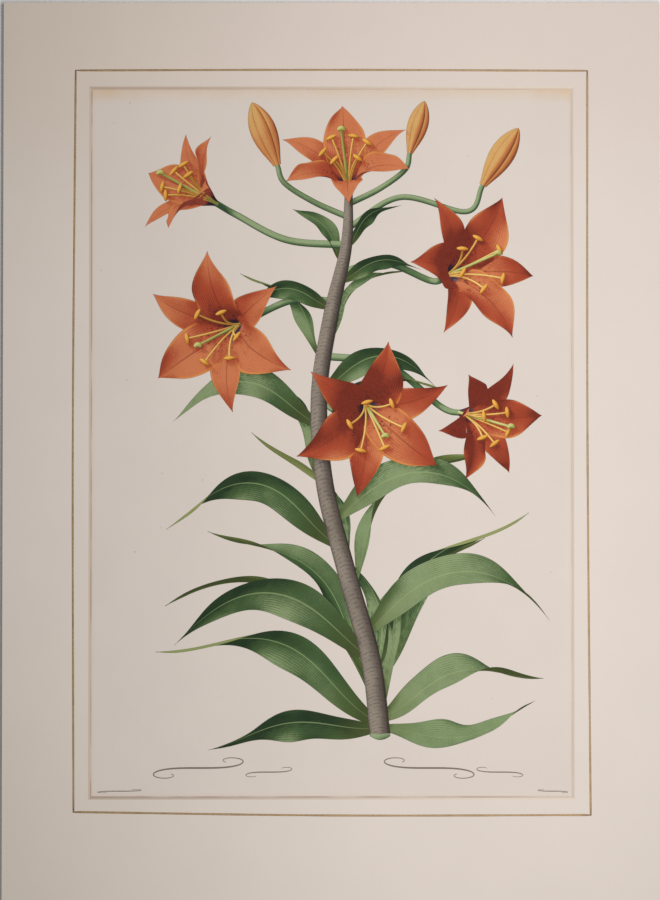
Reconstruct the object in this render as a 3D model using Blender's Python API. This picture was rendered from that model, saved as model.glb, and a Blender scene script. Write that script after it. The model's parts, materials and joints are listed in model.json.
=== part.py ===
"""A botanical print in a hinged window mat, lying face up.

A printed sheet hangs by two tissue hinges from a backing board. A window mat with a bevelled opening
and a ruled gold line lies over it, and a linen tape joins mat and backing along the left long edge,
so that the mat opens like a book cover.

Metres, +Z up and +Y towards the head of the picture. The origin is the middle of the backing
board's underside.
"""

import math

import bmesh
import bpy
from mathutils import Matrix, Vector

# Driving dimensions
WINDOW_WIDTH = 0.358
WINDOW_HEIGHT = 0.526
SIDE_BORDER = 0.0635
HEAD_BORDER = 0.0625
FOOT_BORDER = 0.076
BOARD_THICKNESS = 0.0014
BEVEL_ANGLE = math.radians(45)
PAPER_GAP = 0.0003
SKIN_GAP = 0.0001

SHEET_WIDTH = 0.366
SHEET_HEIGHT = 0.535
SHEET_THICKNESS = 0.0003

LINE_WIDTH = 0.0015
LINE_THICKNESS = 0.0001
LINE_OUTSIDE_WINDOW = {"left": 0.0111, "right": 0.0100, "head": 0.0120, "foot": 0.0111}

TAPE_WIDTH = 0.016
TAPE_THICKNESS = 0.0002
TAPE_END_MARGIN = 0.008
CREASE_OUTSIDE_BOARD = 0.0003

TISSUE_THICKNESS = 0.0001
TAB_WIDTH = 0.025
TAB_UNDER_SHEET = 0.008
TAB_ABOVE_SHEET = 0.022
TAB_FROM_SIDE = 0.055
CROSS_LENGTH = 0.055
CROSS_WIDTH = 0.014
CROSS_ABOVE_SHEET = 0.003
CROSS_RAMP = 0.002

# Sizes and heights that follow
MAT_WIDTH = WINDOW_WIDTH + 2 * SIDE_BORDER
MAT_HEIGHT = WINDOW_HEIGHT + HEAD_BORDER + FOOT_BORDER
WINDOW_MIDDLE_Y = (FOOT_BORDER - HEAD_BORDER) / 2
SHEET_BOTTOM = BOARD_THICKNESS + PAPER_GAP
SHEET_TOP = SHEET_BOTTOM + SHEET_THICKNESS
MAT_BOTTOM = SHEET_TOP + PAPER_GAP
MAT_TOP = MAT_BOTTOM + BOARD_THICKNESS
SHEET_HEAD_Y = WINDOW_MIDDLE_Y + SHEET_HEIGHT / 2
CREASE_X = -MAT_WIDTH / 2 - CREASE_OUTSIDE_BOARD
CREASE_Z = (BOARD_THICKNESS + MAT_BOTTOM) / 2


def clear_scene():
    for obj in list(bpy.data.objects):
        bpy.data.objects.remove(obj)


def plain_material(name, colour, roughness, metallic=0.0):
    """A Principled material. The colour is linear."""
    material = bpy.data.materials.new(name)
    material.use_nodes = True
    shader = material.node_tree.nodes["Principled BSDF"]
    shader.inputs["Base Color"].default_value = (*colour, 1.0)
    shader.inputs["Roughness"].default_value = roughness
    shader.inputs["Metallic"].default_value = metallic
    return material


def add_object(name, mesh_builder, material, parent=None):
    """An object whose mesh is given in the part's own frame, hung from its parent without moving."""
    mesh = bpy.data.meshes.new(name)
    mesh_builder.to_mesh(mesh)
    mesh_builder.free()
    mesh.materials.append(material)
    obj = bpy.data.objects.new(name, mesh)
    bpy.context.scene.collection.objects.link(obj)
    if parent is not None:
        mesh.transform(Matrix.Translation(-parent.location))
        obj.parent = parent
    return obj


def box_builder(low, high):
    """A closed box between two corners."""
    low, high = Vector(low), Vector(high)
    builder = bmesh.new()
    place = Matrix.Translation((low + high) / 2) @ Matrix.Diagonal((*(high - low), 1))
    bmesh.ops.create_cube(builder, size=1.0, matrix=place)
    return builder


def centred_box_builder(width, height, bottom, top, middle_x=0.0, middle_y=0.0):
    return box_builder(
        (middle_x - width / 2, middle_y - height / 2, bottom),
        (middle_x + width / 2, middle_y + height / 2, top),
    )


def mitred_ring_builder(section):
    """A closed ring of four mitred sides.

    section lists the ring's cross-section, each point as ((left, right, foot, head), z), the four
    being where that point's rectangle lies. Neighbouring rectangles are joined by four faces, and the
    last is joined to the first.
    """
    builder = bmesh.new()
    loops = []
    for (left, right, foot, head), z in section:
        corners = ((left, foot), (right, foot), (right, head), (left, head))
        loops.append([builder.verts.new((x, y, z)) for x, y in corners])
    for loop, following in zip(loops, loops[1:] + loops[:1]):
        for corner in range(4):
            beyond = (corner + 1) % 4
            builder.faces.new((loop[corner], loop[beyond], following[beyond], following[corner]))
    bmesh.ops.recalc_face_normals(builder, faces=builder.faces)
    return builder


def window_sides(outside):
    """The window's rectangle at the mat's face, moved outwards by a distance on each side."""
    return (
        -WINDOW_WIDTH / 2 - outside["left"],
        WINDOW_WIDTH / 2 + outside["right"],
        WINDOW_MIDDLE_Y - WINDOW_HEIGHT / 2 - outside["foot"],
        WINDOW_MIDDLE_Y + WINDOW_HEIGHT / 2 + outside["head"],
    )


def evenly(distance):
    return dict.fromkeys(("left", "right", "head", "foot"), distance)


def build_backing_board(material):
    add_object(
        "backing_board",
        centred_box_builder(MAT_WIDTH, MAT_HEIGHT, 0.0, BOARD_THICKNESS),
        material,
    )


def build_print_sheet(material):
    add_object(
        "print_sheet",
        centred_box_builder(SHEET_WIDTH, SHEET_HEIGHT, SHEET_BOTTOM, SHEET_TOP, middle_y=WINDOW_MIDDLE_Y),
        material,
    )


def build_window_mat(material, crease):
    """The board's window slopes inwards as it goes down, so that the cut core shows from above."""
    run = BOARD_THICKNESS / math.tan(BEVEL_ANGLE)
    outer = (-MAT_WIDTH / 2, MAT_WIDTH / 2, -MAT_HEIGHT / 2, MAT_HEIGHT / 2)
    section = (
        (outer, MAT_BOTTOM),
        (outer, MAT_TOP),
        (window_sides(evenly(0.0)), MAT_TOP),
        (window_sides(evenly(-run)), MAT_BOTTOM),
    )
    add_object("window_mat", mitred_ring_builder(section), material, crease)


def build_gold_line(material, crease):
    inner = window_sides({side: d - LINE_WIDTH / 2 for side, d in LINE_OUTSIDE_WINDOW.items()})
    outer = window_sides({side: d + LINE_WIDTH / 2 for side, d in LINE_OUTSIDE_WINDOW.items()})
    bottom = MAT_TOP + SKIN_GAP
    top = bottom + LINE_THICKNESS
    section = ((outer, bottom), (outer, top), (inner, top), (inner, bottom))
    add_object("gold_line", mitred_ring_builder(section), material, crease)


def build_tape(material, crease):
    """The tape's two leaves, one pasted on each board. They meet at the crease."""
    span = (MAT_HEIGHT - 2 * TAPE_END_MARGIN) / 2
    left = -MAT_WIDTH / 2
    right = left + TAPE_WIDTH
    back_bottom = BOARD_THICKNESS + SKIN_GAP
    front_top = MAT_BOTTOM - SKIN_GAP
    add_object(
        "tape_leaf_back",
        box_builder((left, -span, back_bottom), (right, span, back_bottom + TAPE_THICKNESS)),
        material,
    )
    add_object(
        "tape_leaf_front",
        box_builder((left, -span, front_top - TAPE_THICKNESS), (right, span, front_top)),
        material,
        crease,
    )


def ribbon_builder(profile, thickness, foot, head):
    """A strip whose underside follows the profile's (x, z) points, drawn out from foot to head in Y."""
    builder = bmesh.new()
    outline = [(x, z) for x, z in profile] + [(x, z + thickness) for x, z in reversed(profile)]
    face = builder.faces.new([builder.verts.new((x, foot, z)) for x, z in outline])
    drawn = bmesh.ops.extrude_face_region(builder, geom=[face])
    moved = [item for item in drawn["geom"] if isinstance(item, bmesh.types.BMVert)]
    bmesh.ops.translate(builder, vec=(0, head - foot, 0), verts=moved)
    bmesh.ops.recalc_face_normals(builder, faces=builder.faces)
    return builder


def build_tissue_hinge(side_name, middle_x, material):
    """A tab that goes from under the sheet up onto the backing, and a strip pasted across it."""
    low = BOARD_THICKNESS + SKIN_GAP
    tab_top = low + TISSUE_THICKNESS
    add_object(
        "tissue_tab_" + side_name,
        box_builder(
            (middle_x - TAB_WIDTH / 2, SHEET_HEAD_Y - TAB_UNDER_SHEET, low),
            (middle_x + TAB_WIDTH / 2, SHEET_HEAD_Y + TAB_ABOVE_SHEET, tab_top),
        ),
        material,
    )
    over_tab = tab_top + SKIN_GAP
    step = TAB_WIDTH / 2 + SKIN_GAP
    profile = (
        (middle_x - CROSS_LENGTH / 2, low),
        (middle_x - step - CROSS_RAMP, low),
        (middle_x - step, over_tab),
        (middle_x + step, over_tab),
        (middle_x + step + CROSS_RAMP, low),
        (middle_x + CROSS_LENGTH / 2, low),
    )
    foot = SHEET_HEAD_Y + CROSS_ABOVE_SHEET
    add_object(
        "tissue_cross_" + side_name,
        ribbon_builder(profile, TISSUE_THICKNESS, foot, foot + CROSS_WIDTH),
        material,
    )


def main():
    clear_scene()
    crease = bpy.data.objects.new("mat_crease", None)
    crease.location = (CREASE_X, 0.0, CREASE_Z)
    bpy.context.scene.collection.objects.link(crease)

    rag_board = plain_material("cream_rag_board", (0.70, 0.62, 0.55), 0.9)
    backing_rag = plain_material("backing_rag_board", (0.74, 0.68, 0.60), 0.9)
    build_backing_board(backing_rag)
    build_print_sheet(plain_material("printed_paper", (0.66, 0.57, 0.50), 0.85))
    build_window_mat(rag_board, crease)
    build_gold_line(plain_material("gold_ink", (0.40, 0.26, 0.11), 0.4, 0.7), crease)
    build_tape(plain_material("linen_tape", (0.72, 0.66, 0.56), 0.9), crease)
    tissue = plain_material("hinge_tissue", (0.78, 0.74, 0.66), 0.85)
    beside = SHEET_WIDTH / 2 - TAB_FROM_SIDE
    build_tissue_hinge("left", -beside, tissue)
    build_tissue_hinge("right", beside, tissue)


main()
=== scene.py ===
# %% [markdown]
# A botanical print in a hinged window mat
#
# The object lies face up. From the bottom there is a backing board, a printed sheet that hangs from
# the board by two tissue hinges, and a window mat with a bevelled opening and a ruled gold line. A
# linen tape joins mat and board along the left edge, so the mat opens like a book cover. The packed
# model gives every place and size, and this lesson gives each piece its fine surface and its finish.

# %% Load the model and read its sizes
import json
import math

import bpy
import numpy as np
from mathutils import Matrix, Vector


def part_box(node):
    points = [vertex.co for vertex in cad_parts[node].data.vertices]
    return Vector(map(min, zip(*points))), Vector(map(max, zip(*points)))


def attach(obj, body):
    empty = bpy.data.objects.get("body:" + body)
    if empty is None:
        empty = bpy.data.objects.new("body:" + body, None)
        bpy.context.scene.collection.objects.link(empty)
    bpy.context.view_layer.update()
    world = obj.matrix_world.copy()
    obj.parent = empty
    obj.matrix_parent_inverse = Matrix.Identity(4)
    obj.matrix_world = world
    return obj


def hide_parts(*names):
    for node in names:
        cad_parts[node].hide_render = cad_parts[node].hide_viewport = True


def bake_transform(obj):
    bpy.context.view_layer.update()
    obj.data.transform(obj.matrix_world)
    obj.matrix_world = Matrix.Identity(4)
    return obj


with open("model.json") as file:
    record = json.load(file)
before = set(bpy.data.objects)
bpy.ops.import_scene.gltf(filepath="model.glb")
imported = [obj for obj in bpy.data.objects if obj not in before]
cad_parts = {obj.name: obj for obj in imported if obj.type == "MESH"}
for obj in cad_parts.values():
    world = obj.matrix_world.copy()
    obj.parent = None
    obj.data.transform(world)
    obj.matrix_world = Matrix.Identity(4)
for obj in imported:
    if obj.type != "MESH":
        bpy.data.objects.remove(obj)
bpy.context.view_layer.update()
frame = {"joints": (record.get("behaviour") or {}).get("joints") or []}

MM = 0.001
SIDE_BORDER = 63.5 * MM
HEAD_BORDER = 62.5 * MM
FOOT_BORDER = 76.0 * MM


def box_of(node):
    """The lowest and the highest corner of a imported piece."""
    return [np.array(corner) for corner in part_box(node)]


mat_low, mat_high = box_of("window_mat")
sheet_low, sheet_high = box_of("print_sheet")
page_middle = (sheet_low + sheet_high) / 2
window = {
    "left": mat_low[0] + SIDE_BORDER,
    "right": mat_high[0] - SIDE_BORDER,
    "foot": mat_low[1] + FOOT_BORDER,
    "head": mat_high[1] - HEAD_BORDER,
}
print("window", {side: round(place / MM, 1) for side, place in window.items()}, "mm")

# %% [markdown]
# The camera
#
# The print was photographed from straight above, so that the mat fills the picture. A long lens two
# and a half metres away keeps the edges parallel. The camera stands a little towards the foot of the
# print and looks up it by one degree or so, which is why the foot looks a trifle wider than the head.

# %% Camera
PHOTO_WIDTH, PHOTO_HEIGHT = 660, 900
PHOTO_SCALE = 0.7375 * MM
MAT_MIDDLE_IN_PHOTO = (331.4, 451.2)
CAMERA_DISTANCE = 2.5
CAMERA_TILT = math.radians(1.5)
SENSOR = 36.0


def add_camera():
    """A camera that looks down on the mat. Its lens makes one pixel as wide as the photo's scale says."""
    data = bpy.data.cameras.new("camera")
    data.sensor_fit = "VERTICAL"
    data.sensor_height = SENSOR
    data.sensor_width = SENSOR * PHOTO_WIDTH / PHOTO_HEIGHT
    data.lens = SENSOR * CAMERA_DISTANCE / (PHOTO_HEIGHT * PHOTO_SCALE)
    camera = bpy.data.objects.new("camera", data)
    bpy.context.scene.collection.objects.link(camera)
    aim_x = (PHOTO_WIDTH / 2 - MAT_MIDDLE_IN_PHOTO[0]) * PHOTO_SCALE
    aim_y = (MAT_MIDDLE_IN_PHOTO[1] - PHOTO_HEIGHT / 2) * PHOTO_SCALE
    camera.location = (
        aim_x,
        aim_y - CAMERA_DISTANCE * math.sin(CAMERA_TILT),
        mat_high[2] + CAMERA_DISTANCE * math.cos(CAMERA_TILT),
    )
    camera.rotation_euler = (CAMERA_TILT, 0.0, 0.0)
    bpy.context.scene.camera = camera
    print("lens", round(data.lens, 1), "mm")


add_camera()

# %% [markdown]
# Meshes from arrays
#
# Every new surface below is worked out with numpy as a whole array of points, and from_pydata or
# foreach_set puts it into a mesh. Three helpers do that. The first turns points and faces into an
# object that rides on a body. The second joins neighbouring points of a grid into four-sided faces. The
# third builds a slab, which is what a sheet or a tissue is: a top grid, a bottom grid and a rim.

# %% Mesh helpers
def add_piece(name, points, faces, body, material, values=None, smooth=True):
    """A mesh object from points and faces. values names point attributes, each one number or one vector
    a point."""
    mesh = bpy.data.meshes.new(name)
    mesh.from_pydata(np.asarray(points).tolist(), [], np.asarray(faces).tolist())
    mesh.update()
    mesh.polygons.foreach_set("use_smooth", np.full(len(mesh.polygons), smooth))
    for key, numbers in (values or {}).items():
        numbers = np.asarray(numbers, np.float32)
        kind = "FLOAT" if numbers.ndim == 1 else "FLOAT_VECTOR"
        attribute = mesh.attributes.new(key, kind, "POINT")
        attribute.data.foreach_set("value" if kind == "FLOAT" else "vector", numbers.ravel())
    mesh.materials.append(material)
    piece = bpy.data.objects.new(name, mesh)
    bpy.context.scene.collection.objects.link(piece)
    if body is not None:
        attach(piece, body)
    print(name, len(points), "points,", len(faces), "faces")
    return piece


def grid_faces(rows, columns, closed=False):
    """Four-sided faces between neighbouring points of a grid, numbered row by row. A closed grid's last
    column joins its first."""
    index = np.arange(rows * columns).reshape(rows, columns)
    if closed:
        index = np.concatenate([index, index[:, :1]], axis=1)
    corners = (index[:-1, :-1], index[:-1, 1:], index[1:, 1:], index[1:, :-1])
    return np.stack(corners, axis=-1).reshape(-1, 4)


def slab(x, y, top, bottom):
    """A closed slab over the grid of places x and y, between the heights top and bottom. The rim joins
    the two grids round their border, and all faces point outwards."""
    rows, columns = x.shape
    count = rows * columns
    layers = [np.stack(np.broadcast_arrays(x, y, z), axis=-1).reshape(-1, 3) for z in (top, bottom)]
    upper = grid_faces(rows, columns)
    lower = upper[:, ::-1] + count
    index = np.arange(count).reshape(rows, columns)
    around = np.concatenate([index[0, :], index[1:, -1], index[-1, -2::-1], index[-2:0:-1, 0]])
    following = np.roll(around, -1)
    rim = np.stack([around + count, following + count, following, around], axis=-1)
    return np.concatenate(layers), np.concatenate([upper, lower, rim])


trial_points, trial_faces = slab(*np.meshgrid([0, 1, 2], [0, 1]), 1, 0)
print("a slab of 3 by 2 points has", len(trial_points), "points and", len(trial_faces), "faces")

# %% [markdown]
# Short names for shader nodes
#
# A finish is a tree of shader nodes. Each node could be added and each socket joined by a line of its
# own, but a finish has dozens of them. A small class gives each step a short name instead, so that a
# finish reads as a sum. Colours are written as the photograph shows them, and turned into linear ones.

# %% Shader helpers
class Nodes:
    """Short ways to add nodes to one tree and to join them. Each takes sockets or plain values."""

    def __init__(self, tree):
        self.tree = tree

    def add(self, kind, **settings):
        node = self.tree.nodes.new(kind)
        for key, value in settings.items():
            setattr(node, key, value)
        return node

    def feed(self, socket, value):
        if isinstance(value, bpy.types.NodeSocket):
            self.tree.links.new(value, socket)
        else:
            socket.default_value = value

    def feed_all(self, sockets, values):
        for socket, value in zip(sockets, values):
            self.feed(socket, value)

    def math(self, operation, a, b=0.0, c=0.0, clamp=False):
        node = self.add("ShaderNodeMath", operation=operation, use_clamp=clamp)
        self.feed_all(node.inputs, (a, b, c))
        return node.outputs[0]

    def plus(self, a, b):
        return self.math("ADD", a, b)

    def minus(self, a, b):
        return self.math("SUBTRACT", a, b)

    def times(self, a, b):
        return self.math("MULTIPLY", a, b)

    def ramp(self, value, low, high, out_low=0.0, out_high=1.0):
        """A smooth step: out_low where value is low, and out_high where it is high."""
        node = self.add("ShaderNodeMapRange", interpolation_type="SMOOTHSTEP", clamp=True)
        self.feed_all(node.inputs, (value, low, high, out_low, out_high))
        return node.outputs[0]

    def mix(self, factor, a, b, blend="MIX"):
        node = self.add("ShaderNodeMix", data_type="RGBA", blend_type=blend)
        self.feed(node.inputs[0], factor)
        for socket, value in ((node.inputs[6], a), (node.inputs[7], b)):
            self.feed(socket, (*value, 1.0) if isinstance(value, tuple) else value)
        return node.outputs[2]

    def tint(self, colour, mask, strength, seen):
        """colour, turned by strength towards the colour seen where mask is 1."""
        return self.mix(self.times(mask, strength), colour, linear(*seen))

    def noise(self, place, scale, detail=4.0, roughness=0.55, distortion=0.0):
        node = self.add("ShaderNodeTexNoise")
        labels = ("Vector", "Scale", "Detail", "Roughness", "Distortion")
        sockets = [node.inputs[label] for label in labels]
        self.feed_all(sockets, (place, scale, detail, roughness, distortion))
        return node.outputs["Fac"]

    def spots(self, place, scale):
        """Distance to the nearest of a scatter of points, and a random colour for each point."""
        node = self.add("ShaderNodeTexVoronoi")
        self.feed_all((node.inputs["Vector"], node.inputs["Scale"]), (place, scale))
        return node.outputs["Distance"], node.outputs["Color"]

    def stretch(self, place, factors, turn=0.0):
        node = self.add("ShaderNodeMapping")
        self.feed(node.inputs["Vector"], place)
        node.inputs["Scale"].default_value = factors
        node.inputs["Rotation"].default_value = (0.0, 0.0, turn)
        return node.outputs[0]

    def bump(self, height, strength, depth):
        node = self.add("ShaderNodeBump")
        labels = ("Height", "Strength", "Distance")
        self.feed_all([node.inputs[label] for label in labels], (height, strength, depth))
        return node.outputs[0]

    def distance(self, place, point):
        node = self.add("ShaderNodeVectorMath", operation="DISTANCE")
        self.feed_all(node.inputs, (place, point))
        return node.outputs["Value"]

    def split(self, vector):
        node = self.add("ShaderNodeSeparateXYZ")
        self.feed(node.inputs[0], vector)
        return node.outputs

    def attribute(self, name, output="Fac"):
        return self.add("ShaderNodeAttribute", attribute_name=name).outputs[output]

    def object_place(self):
        return self.add("ShaderNodeTexCoord").outputs["Object"]


def linear(red, green, blue):
    """A colour as seen in the photo, from 0 to 255, turned into the linear colour that nodes take."""
    shares = np.array([red, green, blue]) / 255
    bright = ((shares + 0.055) / 1.055) ** 2.4
    return tuple(float(v) for v in np.where(shares <= 0.04045, shares / 12.92, bright))


def dimmed(colour, share):
    """A colour with all of its values times share."""
    return tuple(share * value for value in colour)


def new_material(name, roughness):
    """A node material with its helper and its Principled shader. roughness is the plain starting value."""
    material = bpy.data.materials.new(name)
    material.use_nodes = True
    shader = material.node_tree.nodes["Principled BSDF"]
    shader.inputs["Roughness"].default_value = roughness
    return material, Nodes(material.node_tree), shader


def apply_finish(n, shader, colour, roughness, normal=None, constants=()):
    """Joins colour, roughness and normal to the shader, and sets plain values given as (socket, value)."""
    n.feed(shader.inputs["Base Color"], colour)
    n.feed(shader.inputs["Roughness"], roughness)
    if normal is not None:
        n.feed(shader.inputs["Normal"], normal)
    for label, value in constants:
        shader.inputs[label].default_value = value


def new_group(name, inputs, outputs):
    """An empty shader node group. inputs are numbers as (name, default), and outputs are names."""
    group = bpy.data.node_groups.new(name, "ShaderNodeTree")
    for label, default in inputs:
        socket = group.interface.new_socket(label, in_out="INPUT", socket_type="NodeSocketFloat")
        socket.default_value = default
    for label in outputs:
        group.interface.new_socket(label, in_out="OUTPUT", socket_type="NodeSocketFloat")
    return group


print("a middle grey of 128 is", round(linear(128, 128, 128)[0], 3), "as a linear value")

# %% [markdown]
# Paper and board
#
# Everything here but the gold and the linen is paper of one kind or another, so its look is made
# once, as a shader node group: fibres, a soft cloudy tone and a fine tooth. Each paper material then
# sets its own strength. The group gives only masks and a height, and the shader stays in the material.

# %% Paper group
def make_paper_group():
    """Cloud is a soft tone from 0 to 1, Fibre marks short hairs, and Tooth is a height from 0 to 1."""
    group = new_group("paper_fibre", [("Fineness", 1.0)], ("Cloud", "Fibre", "Tooth"))
    n = Nodes(group)
    entry = n.add("NodeGroupInput")
    out = n.add("NodeGroupOutput")
    place = n.object_place()
    cloud = n.noise(place, 14.0, detail=5.0, roughness=0.6)
    fineness = n.times(entry.outputs["Fineness"], 900.0)
    tooth = n.noise(place, fineness, detail=3.0, roughness=0.7)
    along = n.noise(n.stretch(place, (90.0, 700.0, 1.0), 0.5), 1.0, detail=2.0, distortion=1.2)
    across = n.noise(n.stretch(place, (650.0, 80.0, 1.0), 0.2), 1.0, detail=2.0, distortion=1.2)
    hairs = n.math("MAXIMUM", n.ramp(along, 0.66, 0.74), n.ramp(across, 0.66, 0.74))
    n.feed_all(out.inputs, (cloud, hairs, tooth))
    return group


PAPER_GROUP = make_paper_group()


def paper_nodes(n, fineness):
    """The paper group placed in a material, with its fineness set."""
    node = n.add("ShaderNodeGroup", node_tree=PAPER_GROUP)
    node.inputs["Fineness"].default_value = fineness
    return node.outputs["Cloud"], node.outputs["Fibre"], node.outputs["Tooth"]


print("paper group of", len(PAPER_GROUP.nodes), "nodes")

# %% [markdown]
# The boards' finish
#
# Mat board is layers of soft cotton paper pasted together. Its face is a toned paper with a fine tooth.
# Where a knife has cut it, the core and its four layers show. The mesh carries an attribute named cut,
# which is 1 on cut faces, so that one material can finish the whole board. The core is painted darker
# at its left, as painted shade on the left bevel. The face is a little darker and warmer along its head,
# and painted shade with a slight yellowing darkens it at its left corners.

# %% Board material
PLY_THICKNESS = 0.35 * MM
MAT_FACE = linear(225, 213, 203)
BACKING_FACE = linear(228, 219, 204)
# The core's colour at the window's left is darker: painted shade on the left bevel
CORE_PAINTED_SHADE_AT_LEFT = linear(199, 181, 164)
CORE_AT_RIGHT = linear(232, 217, 202)
PLY_SHADE = (0.62, 0.62, 0.62)
# The face is a little darker and warmer towards the head
DARKER_TOWARDS_HEAD = (0.985, 0.955, 0.945)
# Painted shade with a slight yellowing near the left corners, and how far it reaches
CORNER_PAINTED_SHADE = (0.955, 0.955, 0.925)
CORNER_SHADE_FROM = 280 * MM
CORNER_SHADE_FULL = 20 * MM


def make_board_material(name, face):
    """Face colour and core colour mixed by the cut attribute. The face is darker and warmer by a smooth
    step of the height up the page, and darker by painted shade, a smooth step of the distance to each
    left corner. The core's colour is a step from the window's left to its right, darker at the left as
    painted shade on the left bevel. Plies are a sine of height, one wave for each layer."""
    material, n, shader = new_material(name, 0.92)
    cloud, fibre, tooth = paper_nodes(n, 1.0)
    cut = n.attribute("cut")
    place = n.object_place()
    x, y, z = n.split(place)
    ply = n.ramp(n.math("SINE", n.times(z, 2 * math.pi / PLY_THICKNESS)), 0.6, 1.0)
    tone = n.mix(n.ramp(cloud, 0.3, 0.7), dimmed(face, 0.978), face)
    tone = n.mix(n.times(fibre, 0.07), tone, dimmed(face, 0.72))
    # Darker and warmer from the middle of the mat up to the window's head
    tone = n.mix(n.ramp(y, 0.5 * mat_high[1], window["head"]), tone, DARKER_TOWARDS_HEAD, "MULTIPLY")
    # Painted shade, slightly yellow, darkens the face near each left corner
    for corner_y in (mat_low[1], mat_high[1]):
        away = n.distance(place, (mat_low[0], corner_y, mat_high[2]))
        corner_painted_shade = n.ramp(away, CORNER_SHADE_FROM, CORNER_SHADE_FULL)
        tone = n.mix(corner_painted_shade, tone, CORNER_PAINTED_SHADE, "MULTIPLY")
    # The core darkens towards the left as painted shade on the left bevel
    core = n.mix(n.ramp(x, window["left"], window["right"]), CORE_PAINTED_SHADE_AT_LEFT, CORE_AT_RIGHT)
    layers = n.mix(n.times(ply, 0.30), core, n.mix(1.0, core, PLY_SHADE, "MULTIPLY"))
    distance, chance = n.spots(place, 34.0)
    speck = n.times(n.ramp(distance, 0.016, 0.010), n.ramp(n.split(chance)[0], 0.80, 0.84))
    tone = n.tint(tone, speck, 0.45, (120, 100, 84))
    colour = n.mix(cut, tone, layers)
    roughness = n.ramp(tooth, 0.2, 0.8, 0.86, 0.97)
    apply_finish(
        n, shader, colour, roughness, n.bump(tooth, 0.35, 0.12 * MM), [("Specular IOR Level", 0.25)]
    )
    print(name, len(material.node_tree.nodes), "nodes")
    return material


mat_board = make_board_material("cream_rag_board", MAT_FACE)
backing_finish = make_board_material("backing_rag_board", BACKING_FACE)

# %% [markdown]
# The window mat
#
# A knife held at 45 degrees cuts the window, so its slope runs inwards as it goes down and the core
# shows all round. The board is a cross-section carried round two rectangles, the outer edge and the
# window, with mitred corners. Each point of the section says which rectangle it is measured from, so
# that borders of different widths come out right. The edges are eased a little.

# %% Window mat
EDGE_EASE = 0.12 * MM
EASE_STEPS = 4
BEVEL_RUN = mat_high[2] - mat_low[2]


def eased_corner(height, start, end):
    """A quarter of a circle whose middle is EDGE_EASE in from the outer edge, from angle start to end, as
    points (across, height, side)."""
    angle = np.radians(np.linspace(start, end, EASE_STEPS))
    across = EDGE_EASE + EDGE_EASE * np.cos(angle)
    return [(a, h, 0) for a, h in zip(across, height + EDGE_EASE * np.sin(angle))]


def cut_rim(low, high):
    """A board's outer rectangle as left, right, foot and head, the points of its eased edge from its
    underside to its face, and how far each point is cut."""
    section = eased_corner(low[2] + EDGE_EASE, 270, 180) + eased_corner(high[2] - EDGE_EASE, 180, 90)
    cuts = [0.0] + [1.0] * (len(section) - 2) + [0.0]
    return np.array([low[0], high[0], low[1], high[1]]), section, cuts


def sweep_round(section, outer, inner, closed):
    """Carries section round a rectangle with four mitred corners a point. A point is (across, height,
    side): side 0 measures across inwards from outer, and side 1 inwards from inner. closed joins the
    last point to the first."""
    across, height, side = np.asarray(section, float).T
    base = np.where(side[:, None] < 0.5, outer[None, :], inner[None, :])
    left, right, foot, head = (base + across[:, None] * np.array([1.0, -1.0, 1.0, -1.0])).T
    corners = ((left, foot), (right, foot), (right, head), (left, head))
    points = np.stack([np.stack([x, y, height], axis=-1) for x, y in corners], axis=1).reshape(-1, 3)
    return points, grid_faces(len(section) + closed, 4, closed=True) % len(points)


def make_window_mat():
    """The section goes up the outer edge, across the face and down the slope, which is as long across as
    the board is thick, to the underside."""
    outer, section, cuts = cut_rim(mat_low, mat_high)
    low, high, ease = mat_low[2], mat_high[2], EDGE_EASE
    section += [(-ease, high, 1), (-0.4 * ease, high - 0.05 * ease, 1), (0.25 * ease, high - 0.35 * ease, 1)]
    section += [(BEVEL_RUN - ease, low + ease, 1), (BEVEL_RUN, low, 1), (BEVEL_RUN - ease, low, 1)]
    cuts += [0.0, 0.5, 1.0, 1.0, 1.0, 0.0]
    points, faces = sweep_round(section, outer, np.array(list(window.values())), True)
    values = {"cut": np.repeat(cuts, 4)}
    piece = add_piece("mat_with_window", points, faces, "cover", mat_board, values, smooth=False)
    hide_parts("window_mat")


make_window_mat()

# %% [markdown]
# The backing board
#
# The backing is the same board with no window. It is the same eased edge, carried round, with one
# face of four corners above and one below.

# %% Backing board
def make_backing():
    """Rings of four corners from the underside to the face, and the two faces that close them."""
    outer, section, cuts = cut_rim(*box_of("backing_board"))
    points, sides = sweep_round(section, outer, outer, False)
    under, over = np.arange(4)[::-1], np.arange(4) + len(points) - 4
    faces = np.concatenate([sides, [under], [over]])
    values = {"cut": np.repeat(cuts, 4)}
    piece = add_piece(
        "backing", points, faces, "backing", backing_finish, values, smooth=False
    )
    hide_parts("backing_board")


make_backing()

# %% [markdown]
# The printed sheet
#
# Old heavy paper never lies quite flat. Damp and its two hinges leave it cockled by a tenth of a
# millimetre or so. The sheet is a slab whose height is a sum of slow sine waves, low enough to clear
# the mat. Along the foot of the mat's bevel there is a thin brown line, broken up in places, which is
# partly burn where the bevel has touched the sheet and partly painted shadow under the bevel. The
# paper is toned tan at its head, with a few specks of rust.

# %% Sheet material
TONED_HEAD = 13 * MM
TONED_SIDES = 4 * MM
# Width of the brown line along the bevel's foot, partly burn and partly painted shadow
BURN_AND_SHADOW_WIDTH = 1.3 * MM
SHEET_FACE = linear(221, 209, 199)
# Each speck: millimetres right of and above the sheet's middle, its radius, and how rusty it is
SPECKS = (
    (-149, 251, 0.9, 0.0), (-161, 236, 0.7, 0.2), (-170, 127, 0.8, 0.1), (-151, 46, 0.9, 0.3),
    (-95, -28, 1.0, 1.0), (-125, -23, 0.8, 0.1), (-126, -63, 0.7, 0.1), (-145, -81, 1.1, 0.2),
    (118, -189, 0.9, 1.0), (152, 34, 0.8, 0.3), (101, 212, 0.8, 0.6), (162, -96, 0.7, 0.1),
)


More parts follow.
